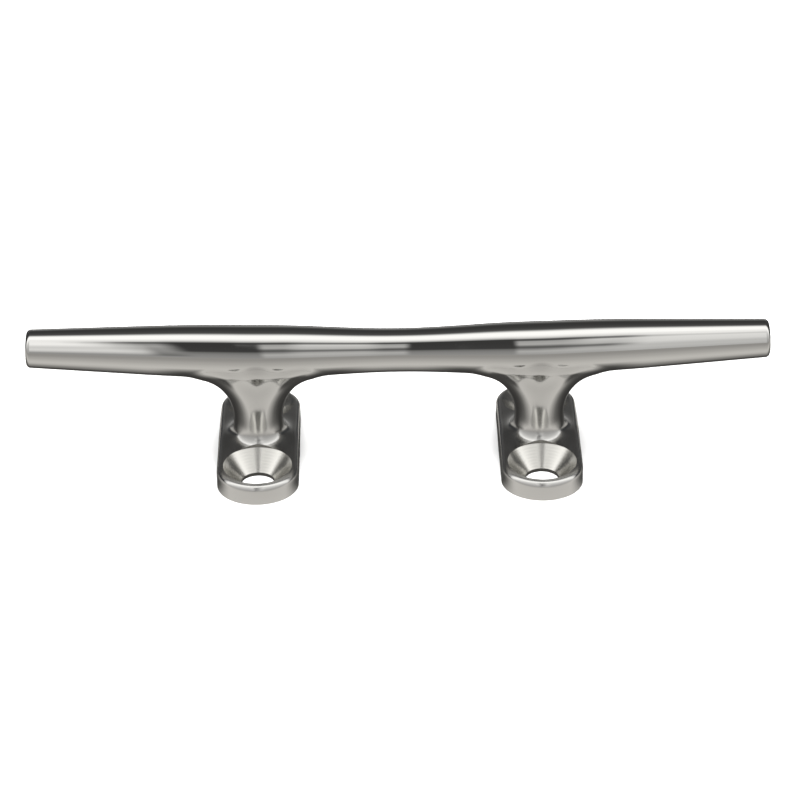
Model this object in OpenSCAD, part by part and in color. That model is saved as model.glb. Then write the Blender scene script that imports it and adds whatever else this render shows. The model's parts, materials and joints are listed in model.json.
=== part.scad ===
// Open-base deck cleat: a round horn bar carried on two cast legs.
// Each leg ends in a pad with two countersunk bolt holes. Units are mm, +Z is up, +X runs along the
// horns, and the origin is on the deck plane midway between the legs.

/* [Horn bar] */
// Overall length, from tip to tip
overall_length = 200; // [150:1:300]
// Height of the bar's axis above the deck, between the legs
axis_height = 31; // [24:0.5:45]
// Diameter of the bar where the legs meet it
bar_d = 14.5; // [10:0.1:20]
// Diameter of the bar at its waist, midway between the legs
waist_d = 11.86; // [8:0.1:18]
// Length of the bowed part of each horn, measured outwards from its leg
bow_length = 30; // [15:1:50]
// Radius of that bow, which sets how fast the horn thins
bow_radius = 666; // [400:1:1200]
// Upward tilt of each horn, in degrees
horn_tilt = 1.9; // [0:0.1:6]
// Radius on the edge of each flat end
tip_round = 1.2; // [0.5:0.1:3]

/* [Legs] */
// Distance between the legs' axes
leg_spacing = 76.5; // [50:1:130]
// Diameter of a leg's column at its narrowest
column_d = 12.3; // [9:0.1:18]
// Height of that narrowest place above the deck
neck_height = 10.4; // [8.6:0.1:16]
// Radius of the gentle curve by which the column widens upwards
column_sweep = 235; // [120:5:600]
// Radius of the curves that spread the leg along the bar
flare_radius = 15; // [8:0.5:22]
// Radius of the fillet where the column stands on its pad
base_fillet = 2; // [1:0.1:2.2]

/* [Pads] */
// Pad width. Its ends are half circles around the holes, so its length is this plus the hole spacing
pad_width = 22; // [20:0.5:30]
// Pad height
pad_height = 6.2; // [5.6:0.1:9]
// Radius of the crown that lowers the pad towards its ends
crown_radius = 480; // [250:10:900]
// Radius on the pad's upper edge
pad_round = 1.5; // [1:0.05:3]

/* [Bolt holes] */
// Distance between the two holes of a pad
hole_spacing = 35; // [24:1:50]
// Diameter of a hole
hole_d = 9; // [5:0.1:11]
// Diameter of the countersink's mouth
sink_d = 19; // [12:0.1:19.4]
// Height of the straight wall under the countersink
land = 1; // [0.5:0.1:2]

/* [Joint] */
// Diameter of the spigot on top of each leg
spigot_d = 8; // [4:0.1:9]
// Height of the spigot's top above the deck
spigot_top = 29.4; // [26:0.1:31]
// Clearance around the spigot and above it
spigot_gap = 0.1; // [0.05:0.05:0.3]

/* [Hidden] */
$fn = 96;

leg_x = leg_spacing / 2;
bar_r = bar_d / 2;
waist_r = waist_d / 2;
// Measured along the horn's own axis, from the leg to the flat end.
horn_length = (overall_length / 2 - leg_x) / cos(horn_tilt);
// The horn's bow hands over to a straight cone at this slope.
cone_slope = bow_length / bow_radius;
bow_drop = bow_length * bow_length / (2 * bow_radius);
tip_r = bar_r - bow_drop - cone_slope * (horn_length - bow_length);

column_r = column_d / 2;
tube_r = column_r - 0.2;
flare_x = column_r + flare_radius - 0.12;
sink_r = sink_d / 2;
hole_r = hole_d / 2;
sink_top = land + sink_r - hole_r;
hole_y = hole_spacing / 2;
end_r = pad_width / 2;
// The socket starts below the bar's underside, and the spigot starts inside the leg.
socket_foot = axis_height - bar_r - 2;
spigot_foot = axis_height - bar_r - 1;
steel = [0.80, 0.80, 0.79];

// The bar's radius at a distance x from its middle, between the legs.
function span_r(x) = waist_r + (bar_r - waist_r) * (1 - cos(180 * x / leg_x)) / 2;

// A horn's radius at a distance d outwards from its leg, over the bowed part.
function bow_r(d) = bar_r - d * d / (2 * bow_radius);

// The outline of half the bar between the legs: x runs along the bar and y is the radius.
module span_outline() {
  steps = 16;
  polygon([
    [leg_x, 0],
    [0, 0],
    for (i = [0:steps]) [leg_x * i / steps, span_r(leg_x * i / steps)]
  ]);
}

// The outline of one horn, from the leg's axis to its rounded flat end.
module horn_outline() {
  steps = 8;
  polygon([
    [horn_length, 0],
    [0, 0],
    for (i = [0:steps]) [bow_length * i / steps, bow_r(bow_length * i / steps)],
    for (a = [90:-15:0]) [horn_length - tip_round * (1 - cos(a)), tip_r - tip_round * (1 - sin(a))]
  ]);
}

// Turns an outline drawn along x into a solid of revolution about the x axis.
module turned() {
  rotate([0, 90, 0]) rotate_extrude() rotate([0, 0, 90]) mirror([0, 1, 0]) children();
}

// The ball at the bend is a hair larger than the bar, so that it covers the mitre there.
module half_bar() {
  translate([0, 0, axis_height]) turned() span_outline();
  translate([leg_x, 0, axis_height]) sphere(r = bar_r + 0.03);
  translate([leg_x, 0, axis_height]) rotate([0, -horn_tilt, 0]) turned() horn_outline();
}

module bar_body() {
  half_bar();
  mirror([1, 0, 0]) half_bar();
}

module horn_bar() {
  color(steel) difference() {
    bar_body();
    for (side = [-1, 1]) {
      translate([side * leg_x, 0, socket_foot])
        cylinder(d = spigot_d + 2 * spigot_gap, h = spigot_top + 3 * spigot_gap - socket_foot);
    }
  }
}

// Half of the column's outline, with the fillet at its foot: x is the radius and y the height.
module column_outline() {
  difference() {
    square([column_r + 3, axis_height]);
    translate([column_r + column_sweep, neck_height]) circle(r = column_sweep, $fn = 1200);
    translate([column_r, -1]) square([4, neck_height + 1]);
  }
  difference() {
    square([column_r + base_fillet, pad_height + base_fillet - 0.04]);
    translate([column_r + base_fillet, pad_height + base_fillet - 0.04]) circle(r = base_fillet);
  }
}

// One bend that spreads the column along the bar, cut off inside the bar.
module flare() {
  translate([flare_x, 0, neck_height]) rotate([90, 0, 0]) rotate([0, 0, 121])
    rotate_extrude(angle = 59) translate([flare_radius + tube_r, 0]) circle(r = tube_r);
}

// The pad's cross-section: half of it, with its rounded upper edge.
module pad_outline() {
  square([end_r, pad_height - pad_round]);
  square([end_r - pad_round, pad_height]);
  translate([end_r - pad_round, pad_height - pad_round]) circle(r = pad_round);
}

module pad_blank() {
  intersection() {
    union() {
      rotate([90, 0, 0]) linear_extrude(hole_spacing, center = true) {
        pad_outline();
        mirror([1, 0, 0]) pad_outline();
      }
      for (turn = [0, 180]) {
        rotate([0, 0, turn]) translate([0, hole_y, 0]) rotate_extrude(angle = 180) pad_outline();
      }
    }
    translate([0, 0, pad_height - crown_radius]) rotate([0, 90, 0])
      cylinder(r = crown_radius, h = pad_width + 4, center = true, $fn = 1200);
  }
}

// A countersunk bolt hole. Above the sink's mouth the cut goes straight up, clear of the fillet.
module bolt_hole() {
  translate([0, 0, -1]) cylinder(d = hole_d, h = land + 1.5);
  translate([0, 0, land]) cylinder(r1 = hole_r, r2 = sink_r, h = sink_r - hole_r);
  translate([0, 0, sink_top]) cylinder(r = sink_r, h = 4);
}

module leg(side) {
  translate([side * leg_x, 0, 0]) difference() {
    union() {
      pad_blank();
      rotate_extrude() column_outline();
      flare();
      mirror([1, 0, 0]) flare();
    }
    translate([-side * leg_x, 0, 0]) bar_body();
    for (end = [-1, 1]) {
      translate([0, end * hole_y, 0]) bolt_hole();
    }
  }
  translate([side * leg_x, 0, spigot_foot])
    cylinder(d = spigot_d, h = spigot_top - spigot_foot);
}

module left_leg() {
  color(steel) leg(-1);
}

module right_leg() {
  color(steel) leg(1);
}

horn_bar();
left_leg();
right_leg();
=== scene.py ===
"""Open-base deck cleat: detailed meshes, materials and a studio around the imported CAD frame."""

import json
import math

import bpy
import numpy as np
from mathutils import Matrix, Vector
from mathutils.geometry import delaunay_2d_cdt


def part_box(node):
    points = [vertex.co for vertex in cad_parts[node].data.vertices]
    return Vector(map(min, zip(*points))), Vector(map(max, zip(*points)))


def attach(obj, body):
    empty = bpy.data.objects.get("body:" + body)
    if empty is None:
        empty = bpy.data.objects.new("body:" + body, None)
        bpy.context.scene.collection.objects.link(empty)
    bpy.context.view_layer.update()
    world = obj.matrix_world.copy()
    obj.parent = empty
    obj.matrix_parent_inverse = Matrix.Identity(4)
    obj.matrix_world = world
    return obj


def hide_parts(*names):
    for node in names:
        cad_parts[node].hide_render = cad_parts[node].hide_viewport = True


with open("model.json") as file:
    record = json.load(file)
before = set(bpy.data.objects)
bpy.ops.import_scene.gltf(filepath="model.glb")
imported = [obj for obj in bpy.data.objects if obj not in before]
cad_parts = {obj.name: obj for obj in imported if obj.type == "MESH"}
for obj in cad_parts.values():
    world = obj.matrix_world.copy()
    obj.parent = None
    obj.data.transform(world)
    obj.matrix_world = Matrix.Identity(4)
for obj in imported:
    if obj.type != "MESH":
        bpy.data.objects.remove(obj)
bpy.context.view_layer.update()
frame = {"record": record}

MM = 1000.0

# ---------------------------------------------------------------- sizes, in mm
# These come from the frame.
bar_top = np.array(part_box("horn_bar")[1]) * MM
leg_top = np.array(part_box("right_leg")[1]) * MM
mounts = {m["name"]: m for m in frame["record"]["mounts"]}
bolts = mounts["deck_bolts"]["dims"]

LEG_X = bolts["spacing_x_mm"] / 2
HOLE_Y = bolts["spacing_y_mm"] / 2
HOLE_R = bolts["hole_r_mm"]
BAR_R = bar_top[1]
SPIGOT_TOP = leg_top[2]
PAD_R = leg_top[1] - HOLE_Y

# The horn bar.
AXIS_Z = 31.0  # the bar's axis above the deck, between the legs
WAIST_R = 5.93
HORN_TILT = math.radians(1.9)
HALF_LENGTH = 100.0
HORN_LENGTH = (HALF_LENGTH - LEG_X) / math.cos(HORN_TILT)
BOW_LENGTH = 30.0  # the curved part of a horn, from the leg outwards; the rest is a straight cone
BOW_R = 666.0
BEND = 5.0  # the bar turns into its tilt over about this length
TIP_ROUND = 1.25
SOCKET_R = 4.1
SOCKET_GAP = 0.3  # between the spigot's top and the socket's end

# The column, its two flares and its spigot.
COLUMN_R = 6.15
COLUMN_TOP = 32.0
COLUMN_TOP_ROUND = 3.0
NECK_Z = 10.4
COLUMN_SWEEP = 200.0
FLARE_R = 15.0
FLARE_END = math.radians(64)
TUBE_R = 6.0
SPIGOT_R = 4.0
SPIGOT_CHAMFER = 0.5
SEAT_SKIN = 0.15  # how far the leg's seat stands off the bar's own round surface

# The pad and its holes.
PAD_H = 6.1
PAD_CROWN = 480.0
PAD_ROUND = 1.5
LAND = 1.0
SINK_R = 9.5

# Widths of the smooth blends between these shapes.
FLARE_BLEND = 1.0
STEM_BLEND = 3.0
BASE_BLEND = 7.0
BAR_BLEND = 4.5  # under the bar
TOP_BLEND = 0.4  # at the bar's axis and above it
BLEND_FADE = 5.0  # the height over which the one turns into the other


# ---------------------------------------------------------------- the shape as a distance field
def smooth_min(a, b, k):
    h = np.clip(k - np.abs(a - b), 0, None) / k
    return np.minimum(a, b) - h * h * h * k / 6


def bar_axis(x):
    """Height of the bar's axis over x, and the slope there."""
    d = np.abs(x) - LEG_X
    t = np.clip((d + BEND) / (2 * BEND), 0, 1)
    rise = math.tan(HORN_TILT)
    z = AXIS_Z + rise * np.where(d > BEND, d, BEND * t * t)
    return z, np.sign(x) * rise * t


def bar_radius(x):
    d = np.abs(x) / LEG_X
    span = WAIST_R + (BAR_R - WAIST_R) * (1 - np.cos(np.pi * np.clip(d, 0, 1))) / 2
    out = np.clip(np.abs(x) - LEG_X, 0, None)
    bow = np.minimum(out, BOW_LENGTH)
    return span - bow * bow / (2 * BOW_R) - (out - bow) * BOW_LENGTH / BOW_R


def bar_field(p):
    z, _ = bar_axis(p[..., 0])
    return np.hypot(p[..., 1], p[..., 2] - z) - bar_radius(p[..., 0])


def flare_field(x, y, z):
    """Distance to one bend, a round tube that rises up the column and turns along +x."""
    cx = COLUMN_R + FLARE_R
    mid = FLARE_R + TUBE_R
    dx, dz = x - cx, z - NECK_Z
    angle = np.clip(np.arctan2(dz, -dx), 0, FLARE_END)
    ax, az = cx - mid * np.cos(angle), NECK_Z + mid * np.sin(angle)
    az = np.where(dz < 0, z, az)
    ax = np.where(dz < 0, cx - mid, ax)
    return np.sqrt((x - ax) ** 2 + y**2 + (z - az) ** 2) - TUBE_R


def rounded_max(a, b, r):
    """Inside both a and b, with a radius r where they meet."""
    a, b = a + r, b + r
    return np.minimum(np.maximum(a, b), 0) + np.hypot(np.clip(a, 0, None), np.clip(b, 0, None)) - r


def pad_field(x, y, z):
    side = np.hypot(x, np.clip(np.abs(y) - HOLE_Y, 0, None)) - PAD_R
    top = z - PAD_H + y * y / (2 * PAD_CROWN)
    return rounded_max(side, top, PAD_ROUND)


def leg_field(p):
    x, y, z = p[..., 0], p[..., 1], p[..., 2]
    side = np.hypot(x, y) - COLUMN_R - np.clip(z - NECK_Z, 0, None) ** 2 / (2 * COLUMN_SWEEP)
    column = rounded_max(side, z - COLUMN_TOP, COLUMN_TOP_ROUND)
    flares = smooth_min(flare_field(x, y, z), flare_field(-x, y, z), FLARE_BLEND)
    stem = smooth_min(column, flares, STEM_BLEND)
    return smooth_min(stem, pad_field(x, y, z), BASE_BLEND)


def body_field(p):
    """The whole cleat near the leg that stands on x = 0, before its holes. p is relative to the leg."""
    q = p.copy()
    q[..., 0] += LEG_X
    over = np.clip((p[..., 2] - AXIS_Z + BLEND_FADE) / BLEND_FADE, 0, 1)
    width = BAR_BLEND - (BAR_BLEND - TOP_BLEND) * over * over * (3 - 2 * over)
    return smooth_min(bar_field(q), leg_field(p), width)


def slope_of(field, p, step=0.005):
    """The field's gradient, by central differences."""
    g = np.empty_like(p)
    for i in range(3):
        d = np.zeros(3)
        d[i] = step
        g[..., i] = (field(p + d) - field(p - d)) / (2 * step)
    return g


def unit(v):
    return v / np.maximum(np.linalg.norm(v, axis=-1, keepdims=True), 1e-9)


def normal_of(field, p):
    return unit(slope_of(field, p, 0.01))


# ---------------------------------------------------------------- mesh tools
class Shell:
    """A closed triangle mesh under construction: vertices, triangles, and each triangle's kind."""

    def __init__(self):
        self.verts = np.zeros((0, 3))
        self.tris = np.zeros((0, 3), int)
        self.kinds = np.zeros(0, int)

    def add_verts(self, points):
        start = len(self.verts)
        self.verts = np.vstack([self.verts, np.asarray(points, float).reshape(-1, 3)])
        return np.arange(start, len(self.verts))

    def add_tris(self, tris, kind):
        tris = np.asarray(tris, int).reshape(-1, 3)
        self.tris = np.vstack([self.tris, tris])
        self.kinds = np.concatenate([self.kinds, np.full(len(tris), kind)])

    def strip(self, ring_a, ring_b, kind):
        """Joins two closed rings of the same count."""
        a, b = np.asarray(ring_a), np.asarray(ring_b)
        a2, b2 = np.roll(a, -1), np.roll(b, -1)
        self.add_tris(np.stack([a, b, b2], 1), kind)
        self.add_tris(np.stack([a, b2, a2], 1), kind)

    def fan(self, ring, centre, kind):
        a = np.asarray(ring)
        a2 = np.roll(a, -1)
        c = np.full(len(a), self.add_verts([centre])[0])
        self.add_tris(np.stack([a, c, a2], 1), kind)


def clip(shell, values, settle):
    """Keeps the side where values > 0 and returns the vertices on the cut, which settle puts in place."""
    values = np.where(values == 0, 1e-9, values)
    keep = values[shell.tris] > 0
    count = keep.sum(1)
    whole = shell.tris[count == 3]
    whole_kinds = shell.kinds[count == 3]
    edges, spots, out, kinds = {}, [], [], []

    def cut(i, j):
        key = (min(i, j), max(i, j))
        if key not in edges:
            a, b = values[key[0]], values[key[1]]
            t = a / (a - b)
            edges[key] = len(shell.verts) + len(spots)
            spots.append(shell.verts[key[0]] * (1 - t) + shell.verts[key[1]] * t)
        return edges[key]

    for index in np.nonzero((count == 1) | (count == 2))[0]:
        tri, inside = shell.tris[index], keep[index]
        odd = int(np.argmax(inside if count[index] == 1 else ~inside))
        a, b, c = (int(tri[(odd + n) % 3]) for n in range(3))
        ab, ac = cut(a, b), cut(a, c)
        made = [(a, ab, ac)] if count[index] == 1 else [(ab, b, c), (ab, c, ac)]
        out += made
        kinds += [shell.kinds[index]] * len(made)
    rim = shell.add_verts(settle(np.array(spots)))
    shell.tris = np.vstack([whole, np.array(out, int)])
    shell.kinds = np.concatenate([whole_kinds, np.array(kinds, int)])
    return rim


def settle_on(*fields):
    """Newton steps onto the curve where every field is zero."""

    def settle(points):
        for _ in range(6):
            rows = np.stack([slope_of(f, points) for f in fields], 1)
            gap = np.stack([f(points) for f in fields], 1)[..., None]
            square = rows @ rows.transpose(0, 2, 1) + 1e-9 * np.eye(len(fields))
            points = points - (rows.transpose(0, 2, 1) @ np.linalg.solve(square, gap))[..., 0]
        return points

    return settle


def drop_unused(shell):
    used = np.unique(shell.tris)
    place = np.full(len(shell.verts), -1)
    place[used] = np.arange(len(used))
    shell.verts, shell.tris = shell.verts[used], place[shell.tris]


def by_azimuth(shell, ring, cx, cy):
    """The ring's vertices in turning order around the upright axis at cx, cy."""
    p = shell.verts[ring]
    return ring[np.argsort(np.arctan2(p[:, 1] - cy, p[:, 0] - cx))]


# ---------------------------------------------------------------- the leg's skin
SKIN, SINK, BORE, SEAT, SPIGOT, FLAT_UP, BASE, SINK_WALL, CAP_RIGHT, CAP_LEFT = range(10)
AROUND = 288  # half-planes around the column
STEP = 0.15  # length of one step along the skin
UP_STEPS, DOWN_STEPS = 230, 330  # enough to reach the bar, and the deck
UP_ROWS, DOWN_ROWS, SEAT_ROWS = 60, 130, 8
SINK_LEVELS = 13
HOLE_NEAR, HOLE_NEAR_TOP = 11.5, 14  # where a hole's cut may act: this close to its axis in y, this low


def traced(phi, start_z, heading, stop, steps, samples):
    """Follows the skin in the upright half-planes at the angles phi, from the neck until stop(p) < 0."""
    u = np.stack([np.cos(phi), np.sin(phi), np.zeros_like(phi)], 1)
    up = np.array([0.0, 0.0, 1.0])

    def correct(p, times=2):
        for _ in range(times):
            g = slope_of(body_field, p)
            gu, gz = (g * u).sum(1), g[:, 2]
            d = body_field(p) / np.maximum(gu * gu + gz * gz, 1e-6)
            p = p - (d * gu)[:, None] * u - (d * gz)[:, None] * up
        return p

    p = correct(u * COLUMN_R + up * start_z, 8)
    direction = np.tile(up * heading, (len(phi), 1))
    path = [p]
    for _ in range(steps):
        g = slope_of(body_field, p)
        gu, gz = (g * u).sum(1), g[:, 2]
        t = -gz[:, None] * u + gu[:, None] * up
        t /= np.linalg.norm(t, axis=1, keepdims=True)
        t *= np.sign((t * direction).sum(1))[:, None]
        p = correct(p + STEP * t)
        direction = t
        path.append(p)
    path = np.array(path)
    value = stop(path)
    first = np.argmax(value < 0, axis=0)
    j = np.arange(len(phi))
    a, b = value[first - 1, j], value[first, j]
    length = first - 1 + a / (a - b)
    rows = []
    for k in range(samples + 1):
        at = length * k / samples
        n = np.minimum(at.astype(int), first - 1)
        f = (at - n)[:, None]
        q = path[n, j] * (1 - f) + path[n + 1, j] * f
        rows.append(correct(q) if k < samples else q)
    return rows


def seat_field(p):
    q = p.copy()
    q[..., 0] += LEG_X
    return bar_field(q) - SEAT_SKIN


def hole_field(sign):
    def field(p):
        r = np.hypot(p[..., 0], p[..., 1] - sign * HOLE_Y)
        mouth = np.clip(HOLE_R + p[..., 2] - LAND, HOLE_R, SINK_R)
        return r - mouth

    return field


def deck_field(p):
    return p[..., 2]


def leg_shell():
    """One leg, with its column on x = 0, as a closed mesh in mm."""
    phi = np.arange(AROUND) * 2 * math.pi / AROUND
    up = traced(phi, NECK_Z + 1, 1, seat_field, UP_STEPS, UP_ROWS)
    down = traced(phi, NECK_Z + 1, -1, deck_field, DOWN_STEPS, DOWN_ROWS)
    up[-1] = settle_on(body_field, seat_field)(up[-1])
    down[-1] = settle_on(body_field, deck_field)(down[-1])
    shell = Shell()
    rings = [shell.add_verts(r) for r in [*up[::-1], *down[1:]]]
    for a, b in zip(rings, rings[1:]):
        shell.strip(a, b, SKIN)
    top, bottom = rings[0], rings[-1]

    # The seat follows the bar's underside from the leg's edge in to the spigot.
    edge = shell.verts[top]
    reach = BAR_R + SEAT_SKIN
    beta = np.arctan2(edge[:, 1], bar_axis(edge[:, 0] + LEG_X)[0] - edge[:, 2])
    root_x, root_beta = SPIGOT_R * np.cos(phi), np.arcsin(SPIGOT_R * np.sin(phi) / reach)
    last = top
    for k in range(1, SEAT_ROWS + 1):
        t = k / SEAT_ROWS
        x, b = edge[:, 0] * (1 - t) + root_x * t, beta * (1 - t) + root_beta * t
        z, _ = bar_axis(x + LEG_X)
        r = bar_radius(x + LEG_X) + SEAT_SKIN
        ring = shell.add_verts(np.stack([x, r * np.sin(b), z - r * np.cos(b)], 1))
        shell.strip(ring, last, SEAT)
        last = ring
    root = shell.verts[last]
    a = np.arctan2(root[:, 1], root[:, 0])
    for z, r in ((SPIGOT_TOP - SPIGOT_CHAMFER, SPIGOT_R), (SPIGOT_TOP, SPIGOT_R - SPIGOT_CHAMFER)):
        ring = shell.add_verts(np.stack([r * np.cos(a), r * np.sin(a), np.full(AROUND, z)], 1))
        shell.strip(ring, last, SPIGOT)
        last = ring
    shell.fan(last[::-1], (0, 0, SPIGOT_TOP), FLAT_UP)

    # The two countersunk holes.
    mouths = []
    for sign in (-1, 1):
        field = hole_field(sign)
        beside = np.abs(shell.verts[:, 1] - sign * HOLE_Y)
        near = (shell.verts[:, 2] < HOLE_NEAR_TOP) & (beside < HOLE_NEAR)
        values = np.where(near, field(shell.verts), 5.0)
        rim = by_azimuth(shell, clip(shell, values, settle_on(body_field, field)), 0, sign * HOLE_Y)
        p = shell.verts[rim]
        a = np.arctan2(p[:, 1] - sign * HOLE_Y, p[:, 0])
        high = np.minimum(p[:, 2], LAND + SINK_R - HOLE_R) - 0.02
        last = rim
        levels = [high + (LAND - high) * t for t in np.linspace(0, 1, SINK_LEVELS)]
        levels += [np.zeros_like(high)]
        for n, z in enumerate(levels):
            r = HOLE_R + np.clip(z - LAND, 0, None)
            ring = shell.add_verts(np.stack([r * np.cos(a), sign * HOLE_Y + r * np.sin(a), z], 1))
            kind = SINK_WALL if n == 0 else BORE if n == len(levels) - 1 else SINK
            shell.strip(ring, last, kind)
            last = ring
        mouths.append(last)

    # The flat underside.
    loops = [bottom, *mouths]
    ids = np.concatenate(loops)
    edges, at = [], 0
    for loop in loops:
        n = len(loop)
        edges += [(at + i, at + (i + 1) % n) for i in range(n)]
        at += n
    flat = [Vector(shell.verts[i][:2]) for i in ids]
    _, _, faces, origins, _, _ = delaunay_2d_cdt(flat, edges, [], 1, 1e-7)
    tris = []
    for f in faces:
        own = [int(ids[origins[i][0]]) for i in f]
        c = shell.verts[own].mean(0)
        if min(math.hypot(c[0], c[1] - s * HOLE_Y) for s in (-1, 1)) > HOLE_R:
            tris.append(own[::-1])
    shell.add_tris(tris, BASE)
    drop_unused(shell)
    return shell


def leg_normals(shell):
    """One normal for each triangle corner."""
    p = shell.verts[shell.tris]
    n = np.zeros_like(p)
    side = np.where(p[..., 1] < 0, -1, 1) * HOLE_Y
    radial = unit(np.stack([p[..., 0], p[..., 1] - side, np.zeros(p.shape[:2])], -1))
    k = shell.kinds
    n[k == SKIN] = normal_of(body_field, p[k == SKIN])
    n[k == SEAT] = -normal_of(seat_field, p[k == SEAT])
    n[k == SINK] = (np.array([0, 0, 1.0]) - radial[k == SINK]) / math.sqrt(2)
    for wall in (BORE, SINK_WALL):
        n[k == wall] = -radial[k == wall]
    n[k == SPIGOT] = unit(p[k == SPIGOT] * np.array([1, 1, 0]))
    n[k == FLAT_UP] = (0, 0, 1)
    n[k == BASE] = (0, 0, -1)
    return n


# ---------------------------------------------------------------- the bar
BAR_AROUND = 160
FINE_REACH = 22  # the rings stand closer within this distance of a leg
BLEND_REACH = 24  # the leg's blend can raise the bar's skin within this distance of it
HORN_RINGS = 42
TIP_RINGS = 9


def bar_stations():
    """The rings' places along one half of the bar, where its rounded tip starts, and where it ends."""
    fine_from, fine_to = LEG_X - FINE_REACH, LEG_X + FINE_REACH
    xs = [*np.arange(0, fine_from, 1.0), *np.arange(fine_from, fine_to, 0.5)]
    tip_x = LEG_X + HORN_LENGTH * math.cos(HORN_TILT)
    start = tip_x - TIP_ROUND * math.cos(HORN_TILT)
    xs += list(np.linspace(fine_to, start, HORN_RINGS))
    return np.array(xs), start, tip_x


def blended_radius(centre, way, r, flip, shift):
    """Finds the joined skin by halving, from the bar's own radius out to the leg's seat."""
    low, high = r - 0.02, r + SEAT_SKIN
    for _ in range(18):
        mid = (low + high) / 2
        inside = body_field((centre + mid[:, None] * way) * flip - shift) < 0
        low, high = np.where(inside, mid, low), np.where(inside, high, mid)
    return (low + high) / 2


def bar_shell():
    """The horn bar as a closed mesh in mm, with a normal for each vertex of its rings."""
    theta = np.arange(BAR_AROUND) * 2 * math.pi / BAR_AROUND
    xs, start, tip_x = bar_stations()
    half = [(x, None) for x in xs]
    r_tip = float(bar_radius(np.array(start)))
    for a in np.linspace(0, math.pi / 2, TIP_RINGS)[1:]:
        x = start + TIP_ROUND * math.sin(a) * math.cos(HORN_TILT)
        half.append((x, (r_tip - TIP_ROUND * (1 - math.cos(a)), a)))
    stations = [(-x, e) for x, e in half[:0:-1]] + half
    shell = Shell()
    rings, normals = [], []
    for x, end in stations:
        z, slope = (float(v) for v in bar_axis(np.array(x)))
        along = np.array([1, 0, slope]) / math.hypot(1, slope)
        across = np.array([-along[2], 0, along[0]])
        way = np.cos(theta)[:, None] * np.array([0, 1, 0]) + np.sin(theta)[:, None] * across
        centre = np.array([x, 0, z])
        if end:
            r, a = end
            ring = centre + r * way
            normal = math.cos(a) * way + math.sin(a) * math.copysign(1, x) * along
        else:
            r = np.full(BAR_AROUND, float(bar_radius(np.array(x))))
            if abs(abs(x) - LEG_X) < BLEND_REACH:
                flip = np.array([math.copysign(1, x), 1, 1])
                shift = np.array([LEG_X, 0, 0])
                r = blended_radius(centre, way, r, flip, shift)
                ring = centre + r[:, None] * way
                normal = normal_of(body_field, ring * flip - shift) * flip
            else:
                ring = centre + r[:, None] * way
                normal = normal_of(bar_field, ring)
        rings.append(shell.add_verts(ring))
        normals.append(normal)
    for a, b in zip(rings, rings[1:]):
        shell.strip(b, a, SKIN)
    shell.normals = np.concatenate(normals)
    for ring, sign in ((rings[0], -1), (rings[-1], 1)):
        x = sign * tip_x
        z = float(bar_axis(np.array(x))[0])
        if sign > 0:
            shell.fan(ring[::-1], (x, 0, z), CAP_RIGHT)
        else:
            shell.fan(ring, (x, 0, z), CAP_LEFT)
    socket_end = SPIGOT_TOP + SOCKET_GAP
    for sign in (-1, 1):

        def socket(p, at=sign * LEG_X):
            return np.hypot(p[..., 0] - at, p[..., 1]) - SOCKET_R

        values = np.where(shell.verts[:, 2] < AXIS_Z, socket(shell.verts), 9.0)
        rim = by_azimuth(shell, clip(shell, values, settle_on(socket)), sign * LEG_X, 0)
        p = shell.verts[rim]
        ring = shell.add_verts(np.stack([p[:, 0], p[:, 1], np.full(len(p), socket_end)], 1))
        shell.strip(rim, ring, BORE)
        shell.fan(ring, (sign * LEG_X, 0, socket_end), BASE)
    return shell


def bar_normals(shell):
    """One normal for each triangle corner."""
    p = shell.verts[shell.tris]
    known = np.zeros_like(shell.verts)
    known[: len(shell.normals)] = shell.normals
    n = known[shell.tris]
    k = shell.kinds
    fresh = (k == SKIN)[:, None] & (np.linalg.norm(n, axis=-1) < 0.5)
    n[fresh] = normal_of(bar_field, p[fresh])
    tilt = math.tan(HORN_TILT)
    for kind, sign in ((CAP_RIGHT, 1), (CAP_LEFT, -1)):
        n[k == kind] = np.array([sign, 0, tilt]) / math.hypot(1, tilt)
    at = np.where(p[..., 0] < 0, -LEG_X, LEG_X)
    radial = unit(np.stack([p[..., 0] - at, p[..., 1], np.zeros(p.shape[:2])], -1))
    n[k == BORE] = -radial[k == BORE]
    n[k == BASE] = (0, 0, -1)
    return n


def built(name, verts, tris, kinds, normals, materials):
    """A Blender object in metres with exact normals; kinds in the sink group take the second material."""
    mesh = bpy.data.meshes.new(name)
    mesh.from_pydata((verts / MM).tolist(), [], tris.tolist())
    mesh.polygons.foreach_set("use_smooth", [True] * len(tris))
    for m in materials:
        mesh.materials.append(m)
    if len(materials) > 1:
        machined = np.isin(kinds, (SINK, SINK_WALL, BORE)).astype(np.int32)
        mesh.polygons.foreach_set("material_index", machined)
    mesh.update()
    mesh.normals_split_custom_set(normals.reshape(-1, 3).tolist())
    obj = bpy.data.objects.new(name, mesh)
    bpy.context.scene.collection.objects.link(obj)
    return obj


# ---------------------------------------------------------------- materials
BAR_ROUGHNESS, LEG_ROUGHNESS, PAD_EXTRA = 0.022, 0.11, 0.1
RINGS_PER_MM = 1.6  # the cutter's marks in the countersinks


def node(tree, kind, **settings):
    n = tree.nodes.new(kind)
    for key, value in settings.items():
        setattr(n, key, value)
    return n


def math_node(tree, operation, a, b=None, clamp=False):
    n = node(tree, "ShaderNodeMath", operation=operation, use_clamp=clamp)
    for socket, value in zip(n.inputs, (a, b)):
        if value is None:
            continue
        if isinstance(value, (int, float)):
            socket.default_value = value
        else:
            tree.links.new(value, socket)
    return n.outputs[0]


def mapped(tree, value, low, high, to_low=0.0, to_high=1.0, smooth=True):
    n = node(tree, "ShaderNodeMapRange", interpolation_type="SMOOTHSTEP" if smooth else "LINEAR")
    tree.links.new(value, n.inputs["Value"])
    for name, number in (("From Min", low), ("From Max", high), ("To Min", to_low), ("To Max", to_high)):
        n.inputs[name].default_value = number
    return n.outputs[0]


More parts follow.
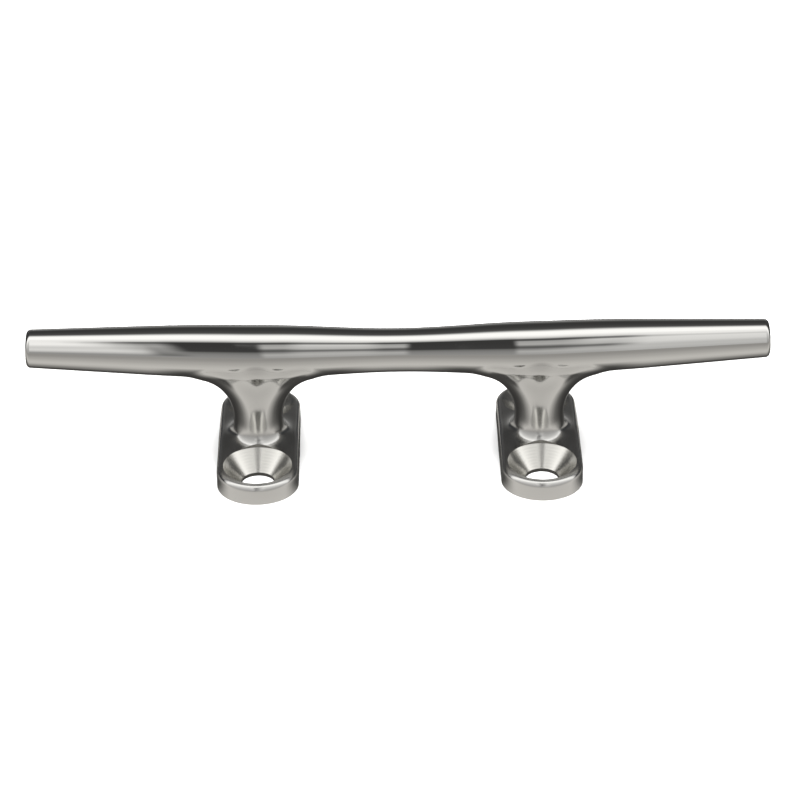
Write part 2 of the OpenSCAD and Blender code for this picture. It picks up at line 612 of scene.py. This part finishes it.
def ramp(tree, value, stops):
    n = node(tree, "ShaderNodeValToRGB")
    tree.links.new(value, n.inputs[0])
    elements = n.color_ramp.elements
    while len(elements) < len(stops):
        elements.new(0.5)
    for element, (at, colour) in zip(elements, stops):
        element.position = at
        element.color = (*colour, 1)
    return n.outputs[0]


def mix_colours(tree, factor, a, b):
    n = node(tree, "ShaderNodeMix", data_type="RGBA")
    for socket, value in ((n.inputs["Factor"], factor), (n.inputs[6], a), (n.inputs[7], b)):
        tree.links.new(value, socket)
    return n.outputs[2]


def fresh_material(name):
    m = bpy.data.materials.new(name)
    m.use_nodes = True
    m.node_tree.nodes.clear()
    return m, m.node_tree


def metal(tree, colour):
    out = node(tree, "ShaderNodeOutputMaterial")
    p = node(tree, "ShaderNodeBsdfPrincipled")
    tree.links.new(p.outputs[0], out.inputs[0])
    p.inputs["Base Color"].default_value = colour
    p.inputs["Metallic"].default_value = 1
    return p


def add_bump(tree, shader, height, strength, distance):
    bump = node(tree, "ShaderNodeBump")
    bump.inputs["Strength"].default_value = strength
    bump.inputs["Distance"].default_value = distance
    tree.links.new(height, bump.inputs["Height"])
    tree.links.new(bump.outputs[0], shader.inputs["Normal"])


def polished_steel():
    m, t = fresh_material("polished_steel")
    p = metal(t, (0.62, 0.615, 0.60, 1))
    where = node(t, "ShaderNodeTexCoord").outputs["Object"]
    split = node(t, "ShaderNodeSeparateXYZ")
    t.links.new(where, split.inputs[0])
    # The buffing wheel reaches the top of the bar best, the legs less well and the pads least.
    height = split.outputs[2]
    legs = mapped(t, height, 0.0275, 0.031, LEG_ROUGHNESS, BAR_ROUGHNESS)
    pads = mapped(t, height, 0.007, 0.014, PAD_EXTRA, 0.0)
    t.links.new(math_node(t, "ADD", legs, pads), p.inputs["Roughness"])
    wave = node(t, "ShaderNodeTexNoise", noise_dimensions="3D")
    t.links.new(where, wave.inputs["Vector"])
    wave.inputs["Scale"].default_value = 55
    wave.inputs["Detail"].default_value = 1.5
    add_bump(t, p, wave.outputs[0], strength=0.07, distance=0.0003)
    return m


def machined_steel():
    m, t = fresh_material("machined_steel")
    p = metal(t, (0.66, 0.65, 0.62, 1))
    p.inputs["Roughness"].default_value = 0.24
    split = node(t, "ShaderNodeSeparateXYZ")
    t.links.new(node(t, "ShaderNodeTexCoord").outputs["Object"], split.inputs[0])
    dx = math_node(t, "SUBTRACT", math_node(t, "ABSOLUTE", split.outputs[0]), LEG_X / MM)
    dy = math_node(t, "SUBTRACT", math_node(t, "ABSOLUTE", split.outputs[1]), HOLE_Y / MM)
    square = math_node(t, "ADD", math_node(t, "MULTIPLY", dx, dx), math_node(t, "MULTIPLY", dy, dy))
    turns = math_node(t, "MULTIPLY", math_node(t, "SQRT", square), 2 * math.pi * RINGS_PER_MM * MM)
    add_bump(t, p, math_node(t, "SINE", turns), strength=0.14, distance=0.00002)
    return m


# ---------------------------------------------------------------- pieces
polished, machined = polished_steel(), machined_steel()

leg = leg_shell()
leg_n = leg_normals(leg)
mirror = np.array([-1, 1, 1])
for name, sign in (("left_leg", -1), ("right_leg", 1)):
    if sign > 0:
        verts, tris, normals = leg.verts + (LEG_X, 0, 0), leg.tris, leg_n
    else:
        verts = (leg.verts + (LEG_X, 0, 0)) * mirror
        tris, normals = leg.tris[:, ::-1], (leg_n * mirror)[:, ::-1]
    piece = built("visual_" + name, verts, tris, leg.kinds, normals, (polished, machined))
    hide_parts(name)
    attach(piece, "root")

bar = bar_shell()
piece = built("visual_horn_bar", bar.verts, bar.tris, bar.kinds, bar_normals(bar), (polished,))
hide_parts("horn_bar")
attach(piece, "root")


# ---------------------------------------------------------------- the studio
FLOOR_SIZE = 8.0


def stage_plane(name, size, height, material):
    h = size / 2
    mesh = bpy.data.meshes.new(name)
    corners = [(-h, -h, height), (h, -h, height), (h, h, height), (-h, h, height)]
    mesh.from_pydata(corners, [], [(0, 1, 2, 3)])
    mesh.materials.append(material)
    obj = bpy.data.objects.new(name, mesh)
    bpy.context.scene.collection.objects.link(obj)
    return obj


def floor_material():
    m, t = fresh_material("pale_floor")
    out = node(t, "ShaderNodeOutputMaterial")
    d = node(t, "ShaderNodeBsdfDiffuse")
    d.inputs["Color"].default_value = (0.9, 0.9, 0.9, 1)
    t.links.new(d.outputs[0], out.inputs[0])
    return m


FLOOR_FRONT, FLOOR_BACK = -200, 120  # the stretch of the table, in mm of y, that the levels cover


def painted_floor_reflection_material():
    """Painted reflection of the table for the steel, on a glowing sheet: pale in front, with painted
    shade under and behind the bar.
    """
    m, t = fresh_material("painted_floor_reflection_emission")
    out = node(t, "ShaderNodeOutputMaterial")
    e = node(t, "ShaderNodeEmission")
    t.links.new(e.outputs[0], out.inputs[0])
    split = node(t, "ShaderNodeSeparateXYZ")
    t.links.new(node(t, "ShaderNodeTexCoord").outputs["Object"], split.inputs[0])
    y = split.outputs[1]
    reach = mapped(t, y, FLOOR_FRONT / MM, FLOOR_BACK / MM, smooth=False)

    def stops(levels):
        span = FLOOR_BACK - FLOOR_FRONT
        return [((y_mm - FLOOR_FRONT) / span, (v, v * 0.975, v * 0.93)) for y_mm, v in levels]

    # Levels of the painted reflection: pale in front, painted shade under the bar and just behind it,
    # pale again further back, then darker far behind.
    far = [(-200, 0.44), (-110, 0.5), (-58, 0.62), (-26, 0.80)]
    behind = [(8, 0.05), (15, 0.06), (24, 0.5), (42, 0.6), (80, 0.12), (120, 0.06)]
    open_floor_with_painted_shade = ramp(t, reach, stops(far + [(-16, 0.68), (-9, 0.42), (0, 0.22)] + behind))
    # Near the legs the painted shade starts further forward and goes darker.
    painted_shade_beside_leg = ramp(t, reach, stops(far + [(-18, 0.42), (-11, 0.17), (-4, 0.08)] + behind))
    off_leg = math_node(t, "SUBTRACT", math_node(t, "ABSOLUTE", split.outputs[0]), LEG_X / MM)
    off_leg = math_node(t, "ABSOLUTE", off_leg)

    # The painted shade beside the legs takes over between 34 and 22 mm from a leg's axis.
    colour = mix_colours(t, mapped(t, off_leg, 0.034, 0.022), open_floor_with_painted_shade, painted_shade_beside_leg)
    # Painted shadow at the pads' feet.
    painted_foot_shadow = ramp(t, reach, stops([(-200, 0.5), (-24, 0.5), (-18, 0.09), (20, 0.06), (30, 0.5)]))
    # Where the painted shadow lies: beside the pads and along their length.
    foot_shadow_mask = math_node(t, "MULTIPLY", mapped(t, off_leg, 0.019, 0.014), mapped(t, y, -0.026, -0.02))
    foot_shadow_mask = math_node(t, "MULTIPLY", foot_shadow_mask, mapped(t, y, 0.03, 0.02))
    t.links.new(mix_colours(t, foot_shadow_mask, colour, painted_foot_shadow), e.inputs["Color"])
    return m


floor = stage_plane("floor", FLOOR_SIZE, 0.0, floor_material())
floor.visible_glossy = False
# A glowing sheet just under the floor, seen only in reflections: it carries the painted reflection of the
# table and its painted shade.
painted_reflection_sheet = stage_plane("painted_floor_reflection_plane", FLOOR_SIZE, -0.0001, painted_floor_reflection_material())
painted_reflection_sheet.visible_camera = False
painted_reflection_sheet.visible_diffuse = False
painted_reflection_sheet.visible_transmission = False
painted_reflection_sheet.visible_volume_scatter = False
painted_reflection_sheet.visible_shadow = False


# Brightness by angle, in degrees from the front horizon (0) over the zenith (90) to the back (180).
OVERHEAD = [
    (78, 1.35), (86, 1.6), (98, 1.6), (103, 1.2), (107, 0.7), (111, 0.25), (116, 0.1), (131, 0.065),
    (149, 0.055), (156, 0.1), (164, 0.17), (173, 0.35), (180, 0.65),
]
OUTER_PANEL = [(0, 0.5), (20, 0.6), (40, 0.75), (60, 0.9), (72, 1.2)]
# The panels in front, from left to right: where each one starts and has taken over, in x of the
# direction looked in, and its levels from the floor up to the overhead lights.
FRONT_PANELS = [
    (-0.400, -0.300, OUTER_PANEL),
    (-0.260, -0.180, [(0, 0.44), (6, 0.44), (14, 0.78), (22, 1.06), (38, 0.95), (54, 1.4), (72, 1.35)]),
    (-0.145, -0.115, [
        (0, 0.45), (8, 0.24), (14, 0.3), (24, 0.4), (38, 0.45), (47, 0.55), (57, 0.42), (62, 0.16),
        (66, 0.18), (70, 0.85),
    ]),
    (-0.108, -0.078, [(0, 0.42), (14, 0.34), (22, 0.24), (28, 0.07), (52, 0.06), (65, 0.06), (70, 0.65)]),
    (-0.022, -0.002, [
        (0, 0.5), (14, 0.65), (22, 0.4), (29, 0.16), (34, 0.18), (43, 0.64), (56, 0.55), (61, 0.1),
        (66, 0.14), (70, 0.8),
    ]),
    (0.030, 0.080, [
        (0, 0.55), (14, 0.7), (22, 0.6), (28, 0.25), (32, 0.25), (38, 0.7), (56, 0.95), (61, 0.25),
        (66, 0.3), (70, 1.0),
    ]),
    (0.090, 0.145, [
        (0, 0.66), (14, 0.78), (24, 0.78), (30, 0.88), (38, 1.05), (58, 1.15), (63, 0.9), (72, 1.33),
    ]),
    (0.200, 0.320, OUTER_PANEL),
]


def studio_world():
    """Long soft panels over the table, with darker ones between them."""
    world = bpy.data.worlds.new("studio")
    bpy.context.scene.world = world
    world.use_nodes = True
    t = world.node_tree
    t.nodes.clear()
    out = node(t, "ShaderNodeOutputWorld")
    back = node(t, "ShaderNodeBackground")
    t.links.new(back.outputs[0], out.inputs[0])
    split = node(t, "ShaderNodeSeparateXYZ")
    t.links.new(node(t, "ShaderNodeTexCoord").outputs["Generated"], split.inputs[0])
    x, y, z = split.outputs
    angle = math_node(t, "ARCTAN2", z, math_node(t, "MULTIPLY", y, -1.0))
    share = math_node(t, "DIVIDE", angle, math.pi, clamp=True)

    def stops(levels):
        return [(deg / 180, (v, v * 0.995, v * 0.98)) for deg, v in levels]

    colour = None
    for start, end, levels in FRONT_PANELS:
        own = ramp(t, share, stops(levels + OVERHEAD))
        colour = mix_colours(t, mapped(t, x, start, end), colour, own) if colour else own
    # Dark walls left and right of the table, low down behind it.
    wide = mapped(t, math_node(t, "ABSOLUTE", x), 0.22, 0.42)
    low = mapped(t, z, 0.34, 0.16)
    behind = mapped(t, y, -0.1, 0.2)
    wall = math_node(t, "MULTIPLY", math_node(t, "MULTIPLY", wide, low), behind)
    dark = node(t, "ShaderNodeRGB")
    dark.outputs[0].default_value = (0.04, 0.042, 0.046, 1)
    t.links.new(mix_colours(t, wall, colour, dark.outputs[0]), back.inputs["Color"])
    back.inputs["Strength"].default_value = 1.0


studio_world()


def area_light(name, place, size, power):
    data = bpy.data.lights.new(name, "AREA")
    data.shape = "DISK"
    data.size = size
    data.energy = power
    obj = bpy.data.objects.new(name, data)
    obj.location = place
    obj.rotation_mode = "QUATERNION"
    obj.rotation_quaternion = (-Vector(place)).to_track_quat("-Z", "Y")
    obj.visible_glossy = False
    bpy.context.scene.collection.objects.link(obj)


area_light("table_fill", place=(0.0, -0.3, 1.6), size=2.2, power=60)

# ---------------------------------------------------------------- the camera
VIEW_ELEVATION = math.radians(28.8)
VIEW_AZIMUTH = math.radians(-0.5)
VIEW_ROLL = math.radians(-0.6)
VIEW_DISTANCE = 0.85
FRAME_PIXELS = 800
VIEW_SCALE = 3.677  # pixels of the frame to a millimetre at the aim point
AIM = Vector((0.00036, 0.0, 0.0156))
SENSOR_WIDTH = 36.0

camera_data = bpy.data.cameras.new("camera")
camera_data.sensor_width = SENSOR_WIDTH
camera_data.lens = VIEW_SCALE * VIEW_DISTANCE * MM * SENSOR_WIDTH / FRAME_PIXELS
camera = bpy.data.objects.new("camera", camera_data)
bpy.context.scene.collection.objects.link(camera)
to_camera = Vector((
    math.sin(VIEW_AZIMUTH) * math.cos(VIEW_ELEVATION),
    -math.cos(VIEW_AZIMUTH) * math.cos(VIEW_ELEVATION),
    math.sin(VIEW_ELEVATION),
))
camera.rotation_mode = "QUATERNION"
camera.location = AIM + to_camera * VIEW_DISTANCE
turn = (-to_camera).to_track_quat("-Z", "Y").to_matrix() @ Matrix.Rotation(VIEW_ROLL, 3, "Z")
camera.rotation_quaternion = turn.to_quaternion()
bpy.context.scene.camera = camera
bpy.context.scene.view_settings.view_transform = "Standard"
